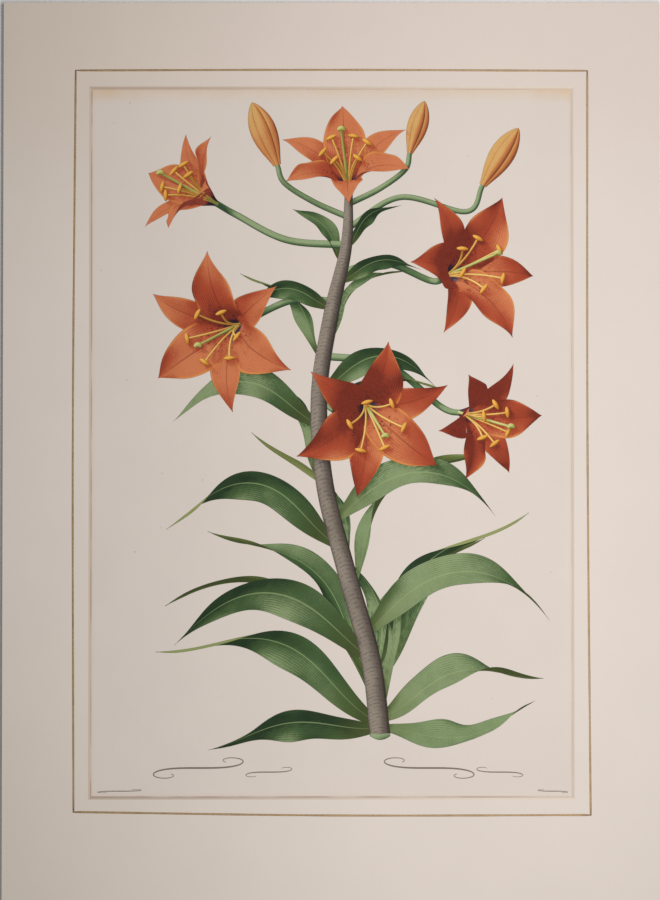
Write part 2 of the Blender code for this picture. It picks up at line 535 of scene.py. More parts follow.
def make_sheet_material():
    """Paper whose head is toned tan, with a brown line along the bevel's foot that is partly burn where
    the bevel has touched it and partly painted shadow under the bevel. The line is a ramp of the
    distance to the nearest side of the opening, and a slow noise breaks it up."""
    material, n, shader = new_material("old_wove_paper", 0.9)
    cloud, fibre, tooth = paper_nodes(n, 1.4)
    place = n.object_place()
    x, y, _ = n.split(place)
    to_left = n.minus(x, window["left"] + BEVEL_RUN)
    to_right = n.minus(window["right"] - BEVEL_RUN, x)
    to_foot = n.minus(y, window["foot"] + BEVEL_RUN)
    to_head = n.minus(window["head"] - BEVEL_RUN, y)
    to_side = n.math("MINIMUM", to_left, to_right)
    nearest = n.math("MINIMUM", to_side, n.math("MINIMUM", to_foot, to_head))

    tone = n.mix(n.ramp(cloud, 0.3, 0.7), dimmed(SHEET_FACE, 0.972), SHEET_FACE)
    tone = n.tint(tone, fibre, 0.06, (170, 150, 130))
    corner = n.ramp(to_side, 45 * MM, 0.0, 0.55, 1.0)
    ragged = n.ramp(n.noise(place, 60.0), 0.3, 0.7, 0.6, 1.0)
    head = n.times(n.ramp(to_head, TONED_HEAD, 0.0), n.times(corner, ragged))
    tone = n.tint(tone, head, 0.75, (216, 184, 146))
    tone = n.tint(tone, n.ramp(nearest, TONED_SIDES, 0.0), 0.18, (202, 172, 142))

    # The brown line is partly burn and partly painted shadow under the bevel, fainter at the right and head
    broken = n.ramp(n.noise(place, 24.0, detail=2.0), 0.36, 0.60, 0.25, 1.0)
    fainter_right = n.ramp(to_right, 20 * MM, 60 * MM, 0.3, 1.0)
    fainter_head = n.ramp(to_head, 1 * MM, 3 * MM, 0.4, 1.0)
    broken = n.times(broken, n.times(fainter_right, fainter_head))
    line = n.times(n.ramp(nearest, BURN_AND_SHADOW_WIDTH, 0.25 * MM), broken)
    line = n.times(line, n.ramp(nearest, -3 * MM, 0.0))
    tone = n.tint(tone, line, 0.62, (140, 108, 84))

    for right, up, radius, rust in SPECKS:
        centre = (page_middle[0] + right * MM, page_middle[1] + up * MM, sheet_high[2])
        spot = n.ramp(n.distance(place, centre), radius * MM, 0.3 * radius * MM)
        tone = n.tint(tone, spot, 0.38, (150 + 50 * rust, 132 + 6 * rust, 118 - 20 * rust))

    roughness = n.ramp(tooth, 0.2, 0.8, 0.84, 0.96)
    apply_finish(n, shader, tone, roughness, n.bump(tooth, 0.3, 0.08 * MM), [("Specular IOR Level", 0.2)])
    print("sheet paper", len(material.node_tree.nodes), "nodes,", len(SPECKS), "specks")
    return material


sheet_paper = make_sheet_material()

# %% [markdown]
# The sheet's own shape
#
# A flat box would lie too straight for old paper. A cloth simulation could cockle it, but a sum of four
# sine waves is simpler, and any other piece can ask it how high the paper lies at a place.

# %% Sheet
SHEET_THICKNESS = 0.25 * MM
SHEET_COLUMNS, SHEET_ROWS = 75, 109
COCKLE = 0.14 * MM
# The sheet's lowest hollow reaches this far below its solid's underside
SAG = 0.02 * MM
WAVE_UNIT = 0.1


def sheet_height(x, y):
    """Height of the sheet's face: a level plus four slow waves of different lengths and directions."""
    u = (x - page_middle[0]) / WAVE_UNIT
    v = (y - page_middle[1]) / WAVE_UNIT
    waves = (
        0.45 * np.sin(2.1 * u + 0.5 * v + 0.4)
        + 0.30 * np.sin(1.3 * v - 0.7 * u + 1.9)
        + 0.15 * np.sin(3.9 * u - 1.1 * v + 0.8)
        + 0.10 * np.sin(4.6 * v + 0.9 * u)
    )
    return sheet_low[2] + SHEET_THICKNESS - SAG + COCKLE * (0.5 + 0.5 * waves)


def make_sheet():
    """A slab of even thickness under the cockled face."""
    xs = np.linspace(sheet_low[0], sheet_high[0], SHEET_COLUMNS)
    ys = np.linspace(sheet_low[1], sheet_high[1], SHEET_ROWS)
    x, y = np.meshgrid(xs, ys)
    top = sheet_height(x, y)
    points, faces = slab(x, y, top, top - SHEET_THICKNESS)
    piece = add_piece("sheet", points, faces, "backing", sheet_paper)
    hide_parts("print_sheet")


make_sheet()

# %% [markdown]
# The gold line
#
# The gilt line was ruled on the mat with a pen, one side at a time, so it wanders by a millimetre and
# the sides meet a little unevenly. It is a low rounded bead of ink carried round a closed path. Each
# side of the path runs through three points, moved from the true rectangle as far as the pen strayed.

# %% Path of the gold line
LINE_WIDTH = 1.5 * MM
SIDE_POINTS = 90
# How far the pen strayed outwards in millimetres, at the start, middle and end of each side
STRAYED = {
    "foot": (-1.9, 0.6, 0.3),
    "right": (1.7, -0.1, 0.2),
    "head": (-0.3, 0.4, 0.0),
    "left": (-1.0, 0.6, -0.4),
}


def smooth_path(knots, count):
    """A smooth curve through knots, evenly spaced by knot number, as cubic pieces whose slope at a
    knot is half the step between its neighbours."""
    knots = np.asarray(knots, float)
    ends = (2 * knots[:1] - knots[1:2], 2 * knots[-1:] - knots[-2:-1])
    padded = np.concatenate([ends[0], knots, ends[1]])
    place = np.linspace(0, len(knots) - 1 - 1e-9, count)
    cell = place.astype(int)
    t = (place - cell)[:, None]
    before, a, b, after = (padded[cell + k] for k in range(4))
    slope_a, slope_b = (b - before) / 2, (after - a) / 2
    return (
        (2 * t**3 - 3 * t**2 + 1) * a
        + (t**3 - 2 * t**2 + t) * slope_a
        + (3 * t**2 - 2 * t**3) * b
        + (t**3 - t**2) * slope_b
    )


def ruled_path():
    """The line's middle, once round from the foot's left end, as points (x, y). A side's stray moves it
    straight outwards, and each corner takes its place from the two sides that meet there."""
    low, high = box_of("gold_line")
    left, foot = low[:2] + LINE_WIDTH / 2
    right, head = high[:2] - LINE_WIDTH / 2
    stray = {side: np.array(values) * MM for side, values in STRAYED.items()}
    corners = (
        (left - stray["left"][2], foot - stray["foot"][0]),
        (right + stray["right"][0], foot - stray["foot"][2]),
        (right + stray["right"][2], head + stray["head"][0]),
        (left - stray["left"][0], head + stray["head"][2]),
    )
    middles = (
        ((left + right) / 2, foot - stray["foot"][1]),
        (right + stray["right"][1], (foot + head) / 2),
        ((left + right) / 2, head + stray["head"][1]),
        (left - stray["left"][1], (foot + head) / 2),
    )
    sides = []
    for number, middle in enumerate(middles):
        knots = (corners[number], middle, corners[(number + 1) % 4])
        sides.append(smooth_path(knots, SIDE_POINTS + 1)[:-1])
    return np.concatenate(sides)


line_path = ruled_path()
line_steps = np.linalg.norm(np.roll(line_path, -1, axis=0) - line_path, axis=1)
print("the pen's way round is", round(line_steps.sum(), 3), "m")

# %% [markdown]
# The bead of gold
#
# Gold ink stands a little proud of the board. A curve with a round section could draw it, but a bead
# worked out point by point can also swell and thin, and can mark its edges and corners for the finish.

# %% Gold line
LINE_HEIGHT = 0.07 * MM


def make_gold_material():
    """Shell gold: small dull metal flakes in gum, thinner and browner at the edges and at the corners."""
    material, n, shader = new_material("gold_ink", 0.5)
    place = n.object_place()
    flakes = n.noise(place, 1400.0, detail=3.0, roughness=0.7)
    uneven = n.noise(place, 90.0)
    colour = n.mix(n.ramp(flakes, 0.35, 0.65), linear(146, 118, 84), linear(190, 158, 114))
    colour = n.tint(colour, n.ramp(uneven, 0.45, 0.75), 0.45, (126, 98, 66))
    edge = n.ramp(n.math("ABSOLUTE", n.attribute("across")), 0.55, 1.0)
    colour = n.tint(colour, edge, 0.5, (128, 96, 62))
    colour = n.tint(colour, n.attribute("corner"), 0.6, (92, 66, 44))
    roughness = n.ramp(flakes, 0.3, 0.7, 0.42, 0.62)
    apply_finish(n, shader, colour, roughness, n.bump(flakes, 0.3, 0.05 * MM), [("Metallic", 0.25)])
    return material


def make_gold_line(path):
    """A bead whose section is five points, flat below and rounded above. Its width swells and thins by
    a few per cent along the path, as a sum of two sines."""
    count = len(path)
    forward = np.roll(path, -1, axis=0) - np.roll(path, 1, axis=0)
    forward /= np.linalg.norm(forward, axis=1, keepdims=True)
    outward = np.stack([forward[:, 1], -forward[:, 0]], axis=-1)
    turn = np.arange(count) / count * 2 * np.pi
    half = LINE_WIDTH / 2 * (1 + 0.05 * np.sin(17 * turn) + 0.04 * np.sin(41 * turn + 1.0))
    across = np.array([-1.0, -0.8, 0.0, 0.8, 1.0])
    height = np.array([0.05, 0.75, 1.0, 0.75, 0.05]) * LINE_HEIGHT
    flat = path[:, None, :] + half[:, None, None] * across[None, :, None] * outward[:, None, :]
    level = np.broadcast_to(mat_high[2] + height[None, :, None], (count, len(across), 1))
    points = np.concatenate([flat, level], axis=-1).reshape(-1, 3)
    faces = grid_faces(count + 1, len(across), closed=True) % len(points)
    to_corner = np.abs((np.arange(count) + SIDE_POINTS / 2) % SIDE_POINTS - SIDE_POINTS / 2)
    values = {
        "across": np.tile(across, count),
        "corner": np.repeat(np.clip(1 - to_corner / 1.5, 0, 1), len(across)),
    }
    gold = make_gold_material()
    piece = add_piece("ruled_gold_line", points, faces, "cover", gold, values)
    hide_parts("gold_line")


make_gold_line(line_path)

# %% [markdown]
# The linen tape
#
# One strip of linen is pasted half on the backing and half under the mat, and bends between them. In
# the model its two leaves are separate solids. Here they are one strip, whose section is a long flat
# U. Its plain weave is drawn from distances along the strip.

# %% Linen material
THREAD_PITCH = 0.55 * MM


def make_linen_material():
    """Plain weave: threads are waves of the strip's own two distances, and each crossing shows the
    warp or the weft by the sign of the two waves' product."""
    material, n, shader = new_material("linen_tape", 0.9)
    cloth = n.attribute("cloth", "Vector")
    across, along, _ = n.split(cloth)
    wander = n.times(n.noise(n.object_place(), 300.0), 0.25 * THREAD_PITCH)
    turns = 2 * math.pi / THREAD_PITCH
    warp = n.math("SINE", n.times(n.plus(across, wander), turns))
    weft = n.math("SINE", n.times(n.plus(along, wander), turns))
    crossing = n.ramp(n.times(warp, weft), -0.6, 0.6)
    slub = n.noise(n.stretch(cloth, (1800.0, 60.0, 1.0)), 1.0, detail=2.0)
    colour = n.mix(crossing, linear(210, 200, 183), linear(228, 220, 204))
    colour = n.tint(colour, n.ramp(slub, 0.55, 0.75), 0.35, (186, 172, 150))
    roughness = n.ramp(crossing, 0.0, 1.0, 0.82, 0.95)
    apply_finish(n, shader, colour, roughness, n.bump(crossing, 0.3, 0.06 * MM), [("Sheen Weight", 0.2)])
    print("linen of", round(MM / THREAD_PITCH * 10, 1), "threads a centimetre")
    return material


linen = make_linen_material()

# %% Linen tape
STRAIGHT_POINTS = 5
BEND_POINTS = 9
TAPE_ROWS = 65


def make_tape():
    """A closed strip. Its section follows a U of straight, half circle and straight at two offsets, one
    on each side of the cloth's middle, and is carried from the tape's foot to its head."""
    low, high = box_of("tape_leaf_back")
    upper_low, upper_high = box_of("tape_leaf_front")
    crease = np.array(frame["joints"][0]["pos_m"])
    lower, upper = (low[2] + high[2]) / 2, (upper_low[2] + upper_high[2]) / 2
    middle_z, radius = (upper + lower) / 2, (upper - lower) / 2
    turn_x = crease[0] + radius
    straight = np.linspace(high[0], turn_x, STRAIGHT_POINTS + 1)[:-1]
    angle = np.radians(np.linspace(-90, -270, BEND_POINTS))
    bend = np.stack([np.cos(angle), np.sin(angle)], axis=-1)
    under = np.stack([straight, np.full(STRAIGHT_POINTS, lower)], axis=-1)
    over = np.stack([straight[::-1], np.full(STRAIGHT_POINTS, upper)], axis=-1)
    path = np.concatenate([under, np.array([turn_x, middle_z]) + radius * bend, over])
    down = np.tile([0.0, -1.0], (STRAIGHT_POINTS, 1))
    outward = np.concatenate([down, bend, -down])
    flat = np.concatenate([[0.0], np.cumsum(np.linalg.norm(np.diff(path, axis=0), axis=1))])
    half_thickness = (high[2] - low[2]) / 2
    outer, inner = path + outward * half_thickness, path - outward * half_thickness
    section = np.concatenate([outer, inner[::-1]])

    ys = np.linspace(low[1], high[1], TAPE_ROWS)
    columns = len(section)
    points, cloth = np.empty((TAPE_ROWS, columns, 3)), np.zeros((TAPE_ROWS, columns, 3))
    points[:, :, 0], points[:, :, 1], points[:, :, 2] = section[:, 0], ys[:, None], section[:, 1]
    cloth[:, :, 0], cloth[:, :, 1] = np.concatenate([flat, flat[::-1]]), ys[:, None]
    faces = grid_faces(TAPE_ROWS, columns, closed=True)
    foot = np.array([[k, k + 1, columns - 2 - k, columns - 1 - k] for k in range(columns // 2 - 1)])
    head = foot[:, ::-1] + (TAPE_ROWS - 1) * columns
    piece = add_piece(
        "folded_linen_tape", points.reshape(-1, 3), np.concatenate([faces, foot, head]), None,
        linen, {"cloth": cloth.reshape(-1, 3)},
    )
    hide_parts("tape_leaf_back", "tape_leaf_front")
    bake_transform(piece)


make_tape()

# %% [markdown]
# The tissue hinges
#
# Each of the two hinges is a tab of thin long-fibred tissue, pasted behind the sheet's head, with a
# strip across it on the board. Tissue is torn, not cut, so its fibres feather out at the edges. Each
# piece is a thin slab whose outline is moved in and out by a few sines, with the fibres in its finish.

# %% Tissue hinges
TORN = 0.7 * MM
TISSUE_LIFT = 0.03 * MM
TISSUE_THICKNESS = 0.08 * MM
TISSUE_SOLID = 0.1 * MM
TISSUE_COLUMNS, TISSUE_ROWS = 33, 25
# A cross climbs over its tab: half of the stretch that is raised, and the run of each slope
TAB_HALF = 12.6 * MM
CLIMB = 2 * MM


def make_tissue_material():
    """Thin white paper with strong fibres."""
    material, n, shader = new_material("hinge_tissue", 0.85)
    cloud, fibre, tooth = paper_nodes(n, 0.7)
    colour = n.mix(n.ramp(cloud, 0.3, 0.7), linear(226, 220, 206), linear(238, 233, 222))
    colour = n.tint(colour, fibre, 0.5, (206, 196, 176))
    apply_finish(n, shader, colour, n.ramp(tooth, 0.2, 0.8, 0.78, 0.92), n.bump(tooth, 0.4, 0.08 * MM))
    return material


tissue_paper = make_tissue_material()
board_top = box_of("backing_board")[1][2]


def torn(u, low, high, tear):
    """Places from low to high as u goes from -1 to 1. Near both ends they are drawn in by half of TORN
    times one plus half the tear, fading towards the middle as the sixth power of u."""
    drawn_in = TORN * 0.5 * np.sign(u) * np.abs(u) ** 6 * (1 + tear / 2)
    return (low + high) / 2 + u * (high - low) / 2 - drawn_in


def make_tissue(node, name, phase):
    """A torn slab in the node's box. The tear along a side is a sum of sines of the distance down it."""
    low, high = box_of(node)
    u, v = np.meshgrid(np.linspace(-1, 1, TISSUE_COLUMNS), np.linspace(-1, 1, TISSUE_ROWS))
    tear_x = np.sin(9 * v + phase) + 0.6 * np.sin(23 * v + 2 * phase) + 0.4 * np.sin(51 * v)
    tear_y = np.sin(11 * u + phase) + 0.6 * np.sin(29 * u - phase) + 0.4 * np.sin(47 * u)
    x, y = torn(u, low[0], high[0], tear_x), torn(v, low[1], high[1], tear_y)
    bottom = board_top + TISSUE_LIFT
    if "cross" in node:
        over_tab = np.clip((TAB_HALF + CLIMB - np.abs(x - (low[0] + high[0]) / 2)) / CLIMB, 0, 1)
        bottom = bottom + over_tab * (high[2] - low[2] - TISSUE_SOLID)
    points, faces = slab(x, y, bottom + TISSUE_THICKNESS, bottom)
    piece = add_piece(name, points, faces, "backing", tissue_paper)
    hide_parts(node)


for number, side in enumerate(("left", "right")):
    make_tissue(f"tissue_tab_{side}", f"torn_tab_{side}", 0.7 + 2.1 * number)
    make_tissue(f"tissue_cross_{side}", f"torn_cross_{side}", 1.9 + 1.3 * number)

# %% [markdown]
# How the picture is made
#
# A flower plate was engraved in dots and lines and then coloured by hand, so its form is drawn in tone
# and its colour is a wash. The picture here is an invented spray of lily-like flowers. Each leaf, petal
# and stem is worked out as a real bent surface, in millimetres on the page with a third number for
# how near it is to the eye. Its tone comes from that surface, as an artist would judge it under a
# lamp at the upper left. Then the surface is pressed flat on the paper, where its nearness remains
# as a fraction of a millimetre, just enough to keep near leaves over far ones.

# %% Brush strokes: bent surfaces
STROKE_SIDES = 20
BLUNT_TIP = 0.015


def unit(vectors):
    """Vectors of the same directions and of length one."""
    return vectors / np.maximum(np.linalg.norm(vectors, axis=-1, keepdims=True), 1e-12)


def stroke(
    path, half_width, fold=0.0, swell=0.0, roll=0.0, wave=0.0, waves=3.0, phase=0.0, face=None,
    sides=STROKE_SIDES,
):
    """A strip along path. A point lies half_width times v to the side of the path, with v from -1 to 1.
    fold raises both edges as a power of v, swell rounds the strip like a stem, roll turns it about the
    path, and wave ruffles its edges. face is the way its middle looks, towards the eye if not given.
    Returns the points as a grid of rows along the path."""
    rows = len(path)
    v = np.linspace(-1, 1, sides)[None, :, None]
    forward = unit(np.gradient(path, axis=0))
    looks = np.broadcast_to(np.array([0.0, 0.0, 1.0]) if face is None else face, path.shape)
    aside = unit(np.cross(looks, forward))
    outward = np.cross(forward, aside)
    angle = np.broadcast_to(np.radians(roll), (rows,))[:, None]
    across = np.cos(angle) * aside + np.sin(angle) * outward
    up = -np.sin(angle) * aside + np.cos(angle) * outward
    width = np.broadcast_to(half_width, (rows,))[:, None, None]
    u = np.linspace(0, 1, rows)[:, None, None]
    ruffle = wave * np.sin(2 * np.pi * waves * u + phase + 1.3 * np.sign(v)) * np.abs(v) ** 3
    lift = fold * np.abs(v) ** 1.6 + ruffle + swell * np.sqrt(np.clip(1 - v**2, 0, 1))
    return path[:, None, :] + width * (v * across[:, None, :] + lift * up[:, None, :])


def taper(count, full=0.45, root=0.25, point=1.0):
    """The width of a leaf or petal along itself: a smooth swelling from root to 1 at full, then down to
    a tip of BLUNT_TIP. point above 1 makes the tip longer."""
    u = np.linspace(0, 1, count)
    rise = root + (1 - root) * np.sin(np.pi / 2 * np.clip(u / full, 0, 1)) ** 1.2
    fall = np.cos(np.pi / 2 * np.clip((u - full) / (1 - full), 0, 1)) ** point
    return rise * np.maximum(fall, BLUNT_TIP)


def pointed(start, count, power):
    """The width of a small thing, thin at both ends: a power of half a sine wave that is cut short by
    start at each end."""
    return np.sin(np.pi * np.linspace(start, 1 - start, count)) ** power


print("a leaf's width, root to tip", np.round(taper(6), 2))

# %% [markdown]
# Pressing the plant onto the page
#
# Every stroke goes into a list with its ink family. When the list is complete, a coarse map of the
# nearest depth over the page is made, so that each point can look towards the lamp and see whether
# something stands in its light. That shadow, the slope of the surface and the side that shows
# are stored on the mesh as attributes, which the ink materials read.

# %% Light and shadow on the page, in millimetres
LAMP = np.array([-0.50, 0.52, 0.69])
SOFTNESS = 1.7
PAGE_HALF = np.array([200.0, 290.0])
PAGE_CELL = 1.0
PAGE_CELLS = (2 * PAGE_HALF / PAGE_CELL).astype(int)
EMPTY = -1e3
SHADOW_STEPS = (1.5, 3.0, 5.0, 8.0, 12.0)
SHADOW_RISE = 0.35
SHADOW_CLEARANCE = 1.2
SHADOW_BLUR = 3.0
SHADOW_REACH = 9.0


def page_cells(points):
    """The row and column of the page map's cell under each point."""
    cells = ((points[..., :2] + PAGE_HALF) / PAGE_CELL).astype(int)
    return tuple(np.clip(cells[..., k], 0, PAGE_CELLS[k] - 1) for k in range(2))


def nearest_map(strokes):
    """The nearest depth to the eye in each cell of the page, from all points of all strokes."""
    depth = np.full(PAGE_CELLS, EMPTY)
    for entry in strokes:
        points = entry["points"].reshape(-1, 3)
        np.maximum.at(depth, page_cells(points), points[:, 2])
    return depth


def shadow_on(points, depth):
    """The share of looks towards the lamp that something nearer blocks. A look goes a few millimetres
    across the page and rises as it goes, and far looks count less."""
    heading = LAMP[:2] / np.linalg.norm(LAMP[:2])
    weights = [np.exp(-step / SHADOW_REACH) for step in SHADOW_STEPS]
    blocked = np.zeros(points.shape[:-1])
    for step, weight in zip(SHADOW_STEPS, weights):
        there = depth[page_cells(points[..., :2] + step * heading)]
        over = there - (points[..., 2] + SHADOW_CLEARANCE + SHADOW_RISE * step)
        blocked += np.clip(over / SHADOW_BLUR, 0, 1) * weight
    return blocked / sum(weights)


def light_on(grid):
    """Half of one plus the cosine to the lamp, to the power SOFTNESS, so that slopes turned away still
    differ, and whether the stroke shows its back."""
    normal = unit(np.cross(np.gradient(grid, axis=0), np.gradient(grid, axis=1)))
    back = normal[..., 2] < 0
    shown = np.where(back[..., None], -normal, normal)
    return (0.5 + 0.5 * shown @ LAMP) ** SOFTNESS, back


print("page map of", PAGE_CELLS[0], "x", PAGE_CELLS[1], "cells")

# %% [markdown]
# Flattening a stroke
#
# A print has no thickness to speak of. A picture file could be laid on the sheet, but this lesson uses
# none, so each stroke keeps its outline as a mesh that follows the cockled paper, a hair above it. What
# is nearer to the eye lies a little higher, and so hides what is behind it.

# %% Strokes as pressed meshes
# The share of its nearness to the eye that a stroke keeps as height
PRESSED = 0.0026
INK_LIFT = 0.05 * MM


def face_up(faces, flat):
    """Turns round each triangle that runs clockwise on the page, so that all of them face up."""
    a, b, c = (flat[faces[:, k]] for k in range(3))
    turn = (b[:, 0] - a[:, 0]) * (c[:, 1] - a[:, 1]) - (b[:, 1] - a[:, 1]) * (c[:, 0] - a[:, 0])
    return np.where(turn[:, None] < 0, faces[:, ::-1], faces)


def pressed(entry, depth, lowest):
    """A stroke flattened onto the sheet: its points, triangles and attributes, all as arrays. Its height
    is the sheet's own, plus PRESSED times how far it is nearer than the farthest stroke."""
    grid = entry["points"]
    rows, sides = grid.shape[:2]
    x, y = (page_middle[k] + grid[..., k] * MM for k in range(2))
    z = sheet_height(x, y) + INK_LIFT + PRESSED * MM * (grid[..., 2] + entry["layer"] - lowest)
    faces = grid_faces(rows, sides)
    faces = np.concatenate([faces[:, :3], faces[:, [0, 2, 3]]])
    light, back = light_on(grid)
    from_left = np.linalg.norm(grid[:, :, :2] - grid[:, :1, :2], axis=-1)
    from_right = np.linalg.norm(grid[:, :, :2] - grid[:, -1:, :2], axis=-1)
    values = {
        "light": light,
        "shadow": shadow_on(grid, depth),
        "back": back.astype(float),
        "edge": np.minimum(from_left, from_right),
        "across": np.broadcast_to(np.linspace(-1, 1, sides)[None, :], (rows, sides)),
        "along": np.broadcast_to(np.linspace(0, 1, rows)[:, None], (rows, sides)),
        "chance": np.full((rows, sides), entry["chance"]),
    }
    points = np.stack([x, y, z], axis=-1).reshape(-1, 3)
    faces = face_up(faces, grid[..., :2].reshape(-1, 2))
    return points, faces, {key: value.ravel() for key, value in values.items()}


strokes = []
draw = np.random.default_rng(7)


def lay(piece, family, points, layer=0.0):
    """Adds a stroke to the picture: the piece that it becomes part of, its ink family and its layer, in
    millimetres nearer to the eye. Its chance is one random number, which varies the ink."""
    chance = draw.random()
    strokes.append(
        {"piece": piece, "family": family, "points": points, "layer": layer, "chance": chance}
    )


print("the ink lies", INK_LIFT / MM, "mm above the paper")

# %% [markdown]
# The stems
#
# One main stem rises in a slow curve and flower stalks leave it near the top. A stem is a round stroke.
# A small green oval across its foot is the cut end.

# %% Stems
STEM_PIECE = "printed_stem"
STEM_ROWS = 150
STEM_LAYER = 7.0
STEM_KNOTS = (
    (36, -216, 0), (29, -160, 0), (11, -95, 0), (-5, -30, 0), (-9, 35, 0), (0, 95, 0), (11, 145, 0),
    (13, 188, -4),
)
CUT_ROWS = 16
CUT_KNOTS = ((28.8, -215.5, 9), (36, -217.2, 10), (43.2, -215.5, 9))
STALK_ROWS = 48
STALK_LAYER = -4.0



def stem_half_width(u):
    """Half of the main stem's width, in millimetres, at a share u of its length. It thins evenly, and
    faster over the last 28 per cent."""
    return 7.6 - 2.6 * u - 2.2 * np.clip((u - 0.72) / 0.28, 0, 1)


main_stem = smooth_path(STEM_KNOTS, STEM_ROWS)
stem_width = stem_half_width(np.linspace(0, 1, STEM_ROWS))


def on_stem(share):
    """The point at a share of the main stem's length."""
    return main_stem[int(share * (STEM_ROWS - 1))]


def stalk(start, end, arriving, bow, width):
    """A thin round stem that leaves from behind the main stem, bows aside at its middle and reaches end
    along the direction arriving."""
    end = np.asarray(end, float)
    step = end - start
    aside = np.array([-step[1], step[0], 0.0]) / np.linalg.norm(step[:2])
    before = end - 0.22 * np.linalg.norm(step) * arriving
    path = smooth_path([start, start + 0.42 * step + bow * aside, before, end], STALK_ROWS)
    widths = np.linspace(width, 0.8 * width, STALK_ROWS)
    lay(STEM_PIECE, "stalk", stroke(path, widths, swell=1.0, sides=12), STALK_LAYER)


lay(STEM_PIECE, "bark", stroke(main_stem, stem_width, swell=1.0), STEM_LAYER)
cut_end = stroke(smooth_path(CUT_KNOTS, CUT_ROWS), 2.2 * pointed(0.06, CUT_ROWS, 0.5), swell=0.3)
lay(STEM_PIECE, "stalk", cut_end, STEM_LAYER)
print("main stem", 2 * stem_width[0], "mm wide at its foot and", round(2 * stem_width[-1], 1), "at its top")

# %% [markdown]
# The leaves
#
# A leaf leaves the stem at an angle and droops steadily, so its direction is an angle that changes with
# distance, and summing the steps gives its path. Its blade folds a little about the midrib, ruffles at
# the edges, and may roll over near the tip to show its paler back.

# %% Leaves
LEAF_ROWS = 72
LEAVES = (
    # share of the stem, side, length, rise, droop, width, towards, roll, twist, sway
    (0.015, -1, 126, -4, 8, 14.5, 26, 34, 50, 14),
    (0.020, 1, 118, -4, -34, 14.0, 28, -38, -70, -12),
    (0.030, -1, 182, 30, 30, 16.0, 12, 20, 120, 22),
    (0.035, 1, 128, 22, 20, 16.0, 16, -34, -110, 20),
    (0.050, -1, 150, 84, 24, 13.0, -14, 30, 110, 20),
    (0.055, 1, 158, 80, 52, 13.5, -14, -24, -120, 14),
    (0.110, 1, 176, 56, 20, 14.0, -16, 18, 130, 24),
    (0.120, -1, 170, 54, 30, 14.0, -16, -28, -110, 20),
    (0.070, -1, 196, 64, 96, 14.5, -8, -64, -70, 6),
    (0.150, -1, 168, 38, 84, 15.0, 24, 12, 60, 14),
    (0.190, 1, 160, 44, 98, 15.0, 24, -20, -90, 8),
    (0.240, -1, 158, 72, 30, 13.0, -12, 58, 90, 24),
    (0.260, 1, 152, 74, 66, 13.5, -12, -66, -90, 12),
    (0.330, -1, 150, 34, 70, 14.0, 26, 16, 110, 22),
    (0.370, 1, 138, 40, 94, 13.5, 24, -26, -54, 8),
    (0.440, -1, 126, 66, 40, 12.0, -10, 60, 90, 22),
    (0.470, 1, 122, 66, 88, 12.0, 16, 40, 90, 16),
    (0.530, -1, 122, 30, 70, 12.0, 22, -16, -60, 18),
    (0.580, 1, 100, 36, 84, 10.5, 20, 20, 70, 14),
    (0.640, -1, 90, 60, 34, 9.5, -8, 50, 80, 18),
    (0.660, 1, 88, 66, 56, 9.0, -8, -54, -60, 14),
    (0.730, -1, 68, 26, 60, 8.5, 14, 22, 60, 14),
    (0.780, 1, 64, 30, 52, 8.0, 12, 30, 60, 12),
    (0.830, -1, 54, 62, 36, 6.5, -6, -40, 40, 14),
    (0.860, 1, 52, 58, 50, 6.5, 10, 40, 50, 12),
)


def leaf(name, at, side, length, rise, droop, width, towards, roll, twist, sway):
    """One leaf. rise is its first angle above the horizon, droop is how far that angle falls by the tip,
    and sway bends it one way and back. towards is how far its middle comes to the eye, roll turns the
    blade about its midrib and twist is how far more it has turned by the tip."""
    u = np.linspace(0, 1, LEAF_ROWS)
    angle = np.radians(rise - droop * u**1.4 + sway * np.sin(2 * np.pi * u))
    step = length / (LEAF_ROWS - 1)
    x = at[0] + side * np.cumsum(np.cos(angle)) * step
    y = at[1] + np.cumsum(np.sin(angle)) * step
    z = at[2] - 15 * np.exp(-u / 0.055) + towards * (np.sin(np.pi * u**0.8) + 0.15 * u)
    turned = side * (roll + twist * u**2.2)
    half = width * taper(LEAF_ROWS, full=0.42, root=0.26, point=1.25)
    path = np.stack([x, y, z], axis=-1)
    points = stroke(path, half, fold=0.28, roll=turned, wave=0.17, waves=2.2, phase=7 * draw.random())
    lay(name, "leaf", points)


for number, (share, side, *shape) in enumerate(LEAVES, 1):
    leaf(f"printed_leaf_{number:02d}", on_stem(share) + np.array([side * 2.5, 0.0, 0.0]), side, *shape)
print(len(LEAVES), "leaves")

# %% [markdown]
# The petals
#
# A flower is six petals round an axis, three broad ones in front of three narrow ones. In the flower's
# own frame a petal starts along the axis and leans outwards more and more until it curls back, so the
# sums of the sine and cosine of its lean give how far out and how far up it is. The flower is then
# turned to look its own way and carried to its place.

# %% Petals
PETAL_ROWS = 56
FIRST_LEAN = 18
# Broad petals and narrow ones: length, more lean at the tip, half width, fold, wave and layer
PETALS = ((1.0, 0, 0.225, 0.20, 0.20, 4), (0.97, 8, 0.165, 0.12, 0.12, 0))


def flower_frame(azimuth, tilt):
    """A turning matrix whose third column is the flower's axis. tilt 0 looks at the eye, and 90 lies in
    the page, pointing along azimuth, measured from the right edge of the page."""
    a, t = math.radians(azimuth), math.radians(tilt)
    axis = np.array([math.sin(t) * math.cos(a), math.sin(t) * math.sin(a), math.cos(t)])
    first = np.array([math.cos(t) * math.cos(a), math.cos(t) * math.sin(a), -math.sin(t)])
    return np.stack([first, np.cross(axis, first), axis], axis=-1)


def carried(flower, out, up, turn):
    """Points at a distance out and up from a flower's axis, in the direction turn about it. flower is its
    centre and its turning matrix."""
    centre, turning = flower
    angle = np.radians(turn)
    return centre + np.stack([out * np.cos(angle), out * np.sin(angle), up], axis=-1) @ turning.T


